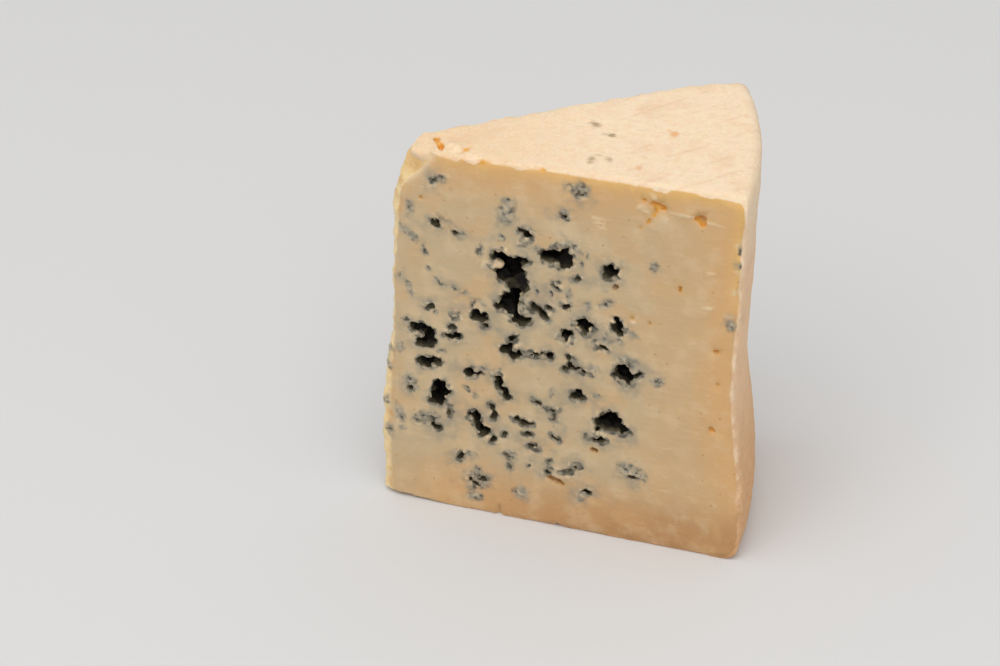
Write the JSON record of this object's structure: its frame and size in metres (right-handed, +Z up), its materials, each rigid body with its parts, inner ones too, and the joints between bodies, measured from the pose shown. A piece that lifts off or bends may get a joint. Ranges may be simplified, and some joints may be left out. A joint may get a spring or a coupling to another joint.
{
  "type": "blue cheese wedge",
  "caption": "Upright wedge cut from a tall round blue cheese, with ragged mould-lined eyes on its cut faces and a thin pale rind round the rim, top and foot.",
  "frame": {"origin": "on the surface it stands on, under the middle of the wedge's bounding box", "axes": "+Z up, +X from the worn nose towards the rind of the rim along the middle of the wedge, -Y out of the cut face with the most eyes"},
  "size_m": [0.0964, 0.053, 0.1117],
  "materials": {
    "cheese": "moist cream paste veined with blue-green mould, pale dry rind"
  },
  "bodies": {
    "root": {"cheese_wedge": "cheese"}
  },
  "joints": []
}
